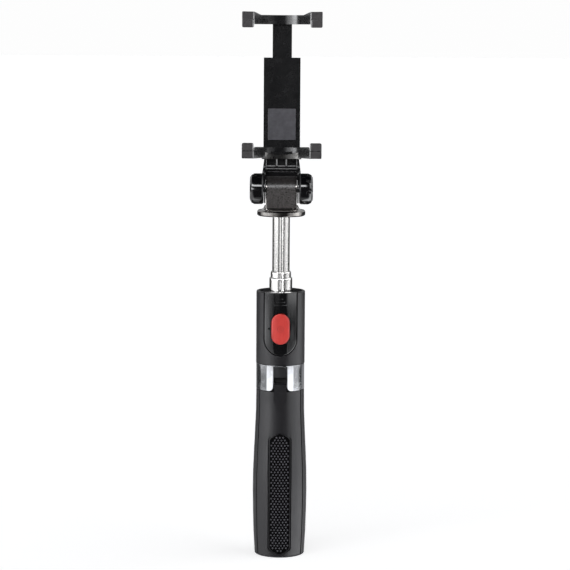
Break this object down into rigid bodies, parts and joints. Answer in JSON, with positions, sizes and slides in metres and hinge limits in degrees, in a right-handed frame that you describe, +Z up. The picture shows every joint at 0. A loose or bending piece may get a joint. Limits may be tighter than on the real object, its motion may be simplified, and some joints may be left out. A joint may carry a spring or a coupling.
{
  "type": "selfie stick",
  "caption": "Telescopic selfie stick with a sprung phone clamp on a tilting head, a removable shutter remote and a handle that opens into tripod legs.",
  "frame": {"origin": "centre of the handle's flat bottom, on the stick's axis", "axes": "+Z up along the stick towards the phone clamp, -Y towards the user's side with the remote and its button, +X to the right as that side is seen"},
  "size_m": [0.0454, 0.0338, 0.311],
  "materials": {
    "grip_plastic": "soft-touch, fine grain",
    "dark_plastic": "satin",
    "gloss_black": "polished",
    "grained_cover": "fine spark-eroded grain",
    "rubber": "matte",
    "chrome": "mirror plated",
    "rod_steel": "polished stainless",
    "hardware_steel": "zinc plated",
    "brass": "turned",
    "red_plastic": "semi-gloss",
    "circuit_board": "solder mask",
    "light_pipe": "clear"
  },
  "bodies": {
    "handle": {"upper_housing": "grip_plastic", "rod_guide": "dark_plastic", "leg_hub": "dark_plastic", "chrome_collar": "chrome", "tube_1": "rod_steel", "rod_end_plug": "dark_plastic", "leg_front_pin": "hardware_steel", "leg_right_pin": "hardware_steel", "leg_left_pin": "hardware_steel"},
    "rod_lower": {"tube_2": "rod_steel", "slide_bush_2": "dark_plastic"},
    "rod_middle": {"tube_3": "rod_steel", "slide_bush_3": "dark_plastic"},
    "rod_upper": {"tube_4": "rod_steel", "slide_bush_4": "dark_plastic", "rod_top_plug": "dark_plastic", "pan_washer": "hardware_steel", "pan_screw": "hardware_steel"},
    "pan_head": {"tilt_block": "gloss_black", "block_cover": "grained_cover", "friction_washer_left": "rubber", "friction_washer_right": "rubber"},
    "clamp": {"clamp_frame": "dark_plastic", "clamp_back_cover": "dark_plastic", "clamp_back_pad": "rubber", "clamp_screw_upper": "hardware_steel", "clamp_screw_lower": "hardware_steel", "lower_pad_left": "rubber", "lower_pad_right": "rubber", "tilt_bolt": "hardware_steel", "tilt_cap": "gloss_black", "clamp_spring_left": "hardware_steel", "clamp_spring_right": "hardware_steel"},
    "upper_jaw": {"upper_jaw_slider": "dark_plastic", "upper_pad_left": "rubber", "upper_pad_right": "rubber"},
    "knob": {"tilt_knob": "gloss_black", "knob_insert": "brass"},
    "remote": {"remote_front_shell": "gloss_black", "remote_back_cover": "dark_plastic", "remote_circuit_board": "circuit_board", "shutter_switch": "dark_plastic", "coin_cell": "hardware_steel", "status_light_pipe": "light_pipe"},
    "button": {"shutter_button": "red_plastic"},
    "leg_front": {"leg_front_shell": "grip_plastic", "leg_front_liner": "dark_plastic", "leg_front_grip_pad": "rubber", "leg_front_foot": "rubber"},
    "leg_right": {"leg_right_shell": "grip_plastic", "leg_right_liner": "dark_plastic", "leg_right_grip_pad": "rubber", "leg_right_foot": "rubber"},
    "leg_left": {"leg_left_shell": "grip_plastic", "leg_left_liner": "dark_plastic", "leg_left_grip_pad": "rubber", "leg_left_foot": "rubber"}
  },
  "joints": [
    {"name": "leg_front_hinge", "type": "hinge", "parent": "handle", "child": "leg_front", "pos_m": [0, -0.0105, 0.099], "axis": [-1, 0, 0], "range_deg": [0, 35]},
    {"name": "leg_right_hinge", "type": "hinge", "parent": "handle", "child": "leg_right", "pos_m": [0.00909, 0.00525, 0.099], "axis": [0.5, -0.866, 0], "range_deg": [0, 35]},
    {"name": "leg_left_hinge", "type": "hinge", "parent": "handle", "child": "leg_left", "pos_m": [-0.00909, 0.00525, 0.099], "axis": [0.5, 0.866, 0], "range_deg": [0, 35]},
    {"name": "rod_lower_slide", "type": "slide", "parent": "handle", "child": "rod_lower", "axis": [0, 0, 1], "range_m": [-0.008, 0.094]},
    {"name": "rod_middle_slide", "type": "slide", "parent": "rod_lower", "child": "rod_middle", "axis": [0, 0, 1], "range_m": [0, 0.099]},
    {"name": "rod_upper_slide", "type": "slide", "parent": "rod_middle", "child": "rod_upper", "axis": [0, 0, 1], "range_m": [-0.0315, 0.065]},
    {"name": "head_pan", "type": "hinge", "parent": "rod_upper", "child": "pan_head", "pos_m": [0, 0, 0.1975], "axis": [0, 0, 1], "continuous": true},
    {"name": "head_tilt", "type": "hinge", "parent": "pan_head", "child": "clamp", "pos_m": [0, 0, 0.211], "axis": [1, 0, 0], "range_deg": [-45, 180]},
    {"name": "tilt_knob_turn", "type": "hinge", "parent": "clamp", "child": "knob", "pos_m": [0.0145, 0, 0.211], "axis": [1, 0, 0], "range_deg": [-180, 180]},
    {"name": "upper_jaw_slide", "type": "slide", "parent": "clamp", "child": "upper_jaw", "axis": [0, 0, 1], "range_m": [-0.014, 0.018], "deforming": ["clamp_spring_left", "clamp_spring_right"]},
    {"name": "remote_slide_out", "type": "slide", "parent": "handle", "child": "remote", "axis": [0, 0, 1], "range_m": [0, 0.038]},
    {"name": "shutter_button_press", "type": "slide", "parent": "remote", "child": "button", "axis": [0, 1, 0], "range_m": [0, 0.00035], "stiffness_N_per_m": 1000}
  ]
}
